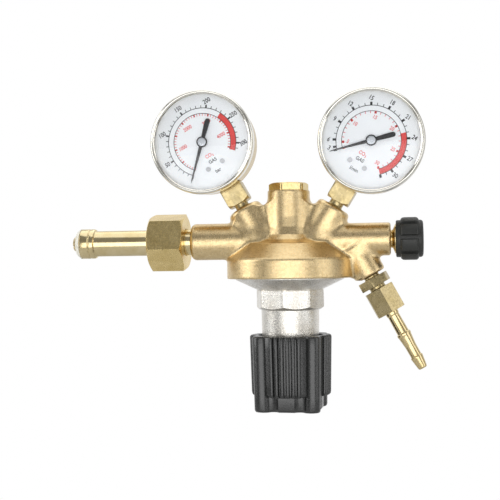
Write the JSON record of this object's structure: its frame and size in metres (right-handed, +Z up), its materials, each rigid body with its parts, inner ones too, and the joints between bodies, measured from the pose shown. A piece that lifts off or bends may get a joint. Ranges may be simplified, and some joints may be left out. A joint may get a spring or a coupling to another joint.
{
  "type": "carbon dioxide regulator",
  "caption": "Brass gas cylinder regulator with two round dial gauges on leaning stems, swivel inlet nut, large adjusting knob below, small shut-off knob and hose tail.",
  "frame": {"origin": "centre of the inlet seal's front face, on the inlet axis", "axes": "+X from the cylinder valve into the regulator, +Z up, dials face -Y, adjusting knob points to -Z"},
  "size_m": [0.2205, 0.0837, 0.1949],
  "materials": {
    "forged_brass": "satin, tumbled forging",
    "machined_brass": "turned, semi-bright",
    "gauge_case": "polished, pale",
    "nickel": "nickel plate over a cast skin",
    "black_plastic": "fine spark-eroded texture",
    "small_knob_plastic": "fine satin",
    "white_plastic": "moulded polyamide",
    "spring_steel": "drawn wire and turned steel",
    "rubber": "matt",
    "copper": "soft copper",
    "screw_steel": "zinc plate",
    "gauge_lens": "clear polycarbonate",
    "dial_face": "white enamel with printed scale",
    "pointer_black": "black lacquer"
  },
  "bodies": {
    "regulator": {"body": "forged_brass", "valve_plug": "machined_brass", "plug_gasket": "copper", "valve_seat": "machined_brass", "inlet_stem": "machined_brass", "inlet_seal": "white_plastic", "inlet_filter": "machined_brass", "bonnet": "nickel", "slip_ring": "machined_brass", "diaphragm": "rubber", "outlet_gland": "machined_brass", "spindle_seal": "rubber", "outlet_union": "machined_brass", "union_nut": "machined_brass", "hose_tail": "machined_brass", "relief_body": "machined_brass", "relief_cap": "machined_brass", "relief_spring": "spring_steel", "main_spring": "spring_steel", "poppet_spring": "spring_steel", "dial_screws": "screw_steel", "contents_case": "gauge_case", "contents_bezel": "gauge_case", "contents_lens": "gauge_lens", "contents_dial": "dial_face", "contents_stem": "machined_brass", "contents_bourdon_tube": "machined_brass", "contents_movement": "machined_brass", "contents_blowout_disc": "rubber", "flow_case": "gauge_case", "flow_bezel": "gauge_case", "flow_lens": "gauge_lens", "flow_dial": "dial_face", "flow_stem": "machined_brass", "flow_bourdon_tube": "machined_brass", "flow_movement": "machined_brass", "flow_blowout_disc": "rubber"},
    "thrust_washer": {"thrust_washer": "machined_brass"},
    "inlet_nut": {"inlet_nut": "machined_brass"},
    "spring_seat": {"spring_seat": "spring_steel"},
    "adjuster": {"adjusting_screw": "spring_steel", "adjusting_knob": "black_plastic"},
    "main_valve": {"diaphragm_plate": "machined_brass", "valve_pin": "spring_steel", "valve_poppet": "machined_brass"},
    "outlet_valve_pad": {"outlet_valve_pad": "white_plastic"},
    "outlet_spindle": {"outlet_spindle": "machined_brass", "outlet_knob": "small_knob_plastic"},
    "relief_poppet": {"relief_poppet": "machined_brass"},
    "contents_pointer": {"contents_pointer": "pointer_black", "contents_pinion": "machined_brass"},
    "contents_sector": {"contents_sector_gear": "machined_brass"},
    "contents_link": {"contents_link": "machined_brass"},
    "flow_pointer": {"flow_pointer": "pointer_black", "flow_pinion": "machined_brass"},
    "flow_sector": {"flow_sector_gear": "machined_brass"},
    "flow_link": {"flow_link": "machined_brass"}
  },
  "joints": [
    {"name": "inlet_nut_slide", "type": "slide", "parent": "regulator", "child": "thrust_washer", "axis": [-1, 0, 0], "range_m": [0, 0.0535]},
    {"name": "inlet_nut_turn", "type": "hinge", "parent": "thrust_washer", "child": "inlet_nut", "pos_m": [0.0596, 0, 0], "axis": [1, 0, 0], "continuous": true},
    {"name": "adjust_travel", "type": "slide", "parent": "regulator", "child": "spring_seat", "axis": [0, 0, 1], "range_m": [0, 0.0075], "deforming": ["main_spring"]},
    {"name": "adjusting_knob_turn", "type": "hinge", "parent": "spring_seat", "child": "adjuster", "pos_m": [0.1346, 0, -0.08], "axis": [0, 0, 1], "range_deg": [0, 1800.01]},
    {"name": "valve_lift", "type": "slide", "parent": "regulator", "child": "main_valve", "axis": [0, 0, 1], "range_m": [0, 0.001], "deforming": ["diaphragm", "poppet_spring"]},
    {"name": "outlet_valve_travel", "type": "slide", "parent": "regulator", "child": "outlet_valve_pad", "axis": [1, 0, 0], "range_m": [0, 0.002]},
    {"name": "outlet_knob_turn", "type": "hinge", "parent": "outlet_valve_pad", "child": "outlet_spindle", "pos_m": [0.2046, 0, 0], "axis": [1, 0, 0], "range_deg": [0, 720.01]},
    {"name": "relief_lift", "type": "slide", "parent": "regulator", "child": "relief_poppet", "axis": [0, 1, 0], "range_m": [0, 0.0015], "stiffness_N_per_m": 1500, "deforming": ["relief_spring"]},
    {"name": "contents_pointer_turn", "type": "hinge", "parent": "regulator", "child": "contents_pointer", "pos_m": [0.08408, -0.015, 0.06027], "axis": [0, 1, 0], "range_deg": [0, 270], "stiffness_Nm_per_rad": 0.0002},
    {"name": "contents_sector_turn", "type": "hinge", "parent": "regulator", "child": "contents_sector", "pos_m": [0.09054, -0.0035, 0.04875], "axis": [0, 1, 0], "range_deg": [-27.01, 0]},
    {"name": "contents_link_travel", "type": "slide", "parent": "regulator", "child": "contents_link", "axis": [0.8721, 0, 0.4894], "range_m": [0, 0.00257], "deforming": ["contents_bourdon_tube"]},
    {"name": "flow_pointer_turn", "type": "hinge", "parent": "regulator", "child": "flow_pointer", "pos_m": [0.18597, -0.015, 0.05802], "axis": [0, 1, 0], "range_deg": [0, 270], "stiffness_Nm_per_rad": 0.0002},
    {"name": "flow_sector_turn", "type": "hinge", "parent": "regulator", "child": "flow_sector", "pos_m": [0.17904, -0.0035, 0.04679], "axis": [0, 1, 0], "range_deg": [-27.01, 0]},
    {"name": "flow_link_travel", "type": "slide", "parent": "regulator", "child": "flow_link", "axis": [0.8508, 0, -0.5255], "range_m": [0, 0.00257], "deforming": ["flow_bourdon_tube"]}
  ],
  "couplings": [
    {"joint": "adjusting_knob_turn", "follows": "adjust_travel", "rad_per_m": 4188.8},
    {"joint": "valve_lift", "follows": "adjust_travel", "ratio": 0.13333},
    {"joint": "outlet_knob_turn", "follows": "outlet_valve_travel", "rad_per_m": 6283.2},
    {"joint": "contents_sector_turn", "follows": "contents_pointer_turn", "ratio": -0.1},
    {"joint": "contents_link_travel", "follows": "contents_pointer_turn", "m_per_rad": 0.00054493},
    {"joint": "flow_sector_turn", "follows": "flow_pointer_turn", "ratio": -0.1},
    {"joint": "flow_link_travel", "follows": "flow_pointer_turn", "m_per_rad": 0.00054493}
  ]
}
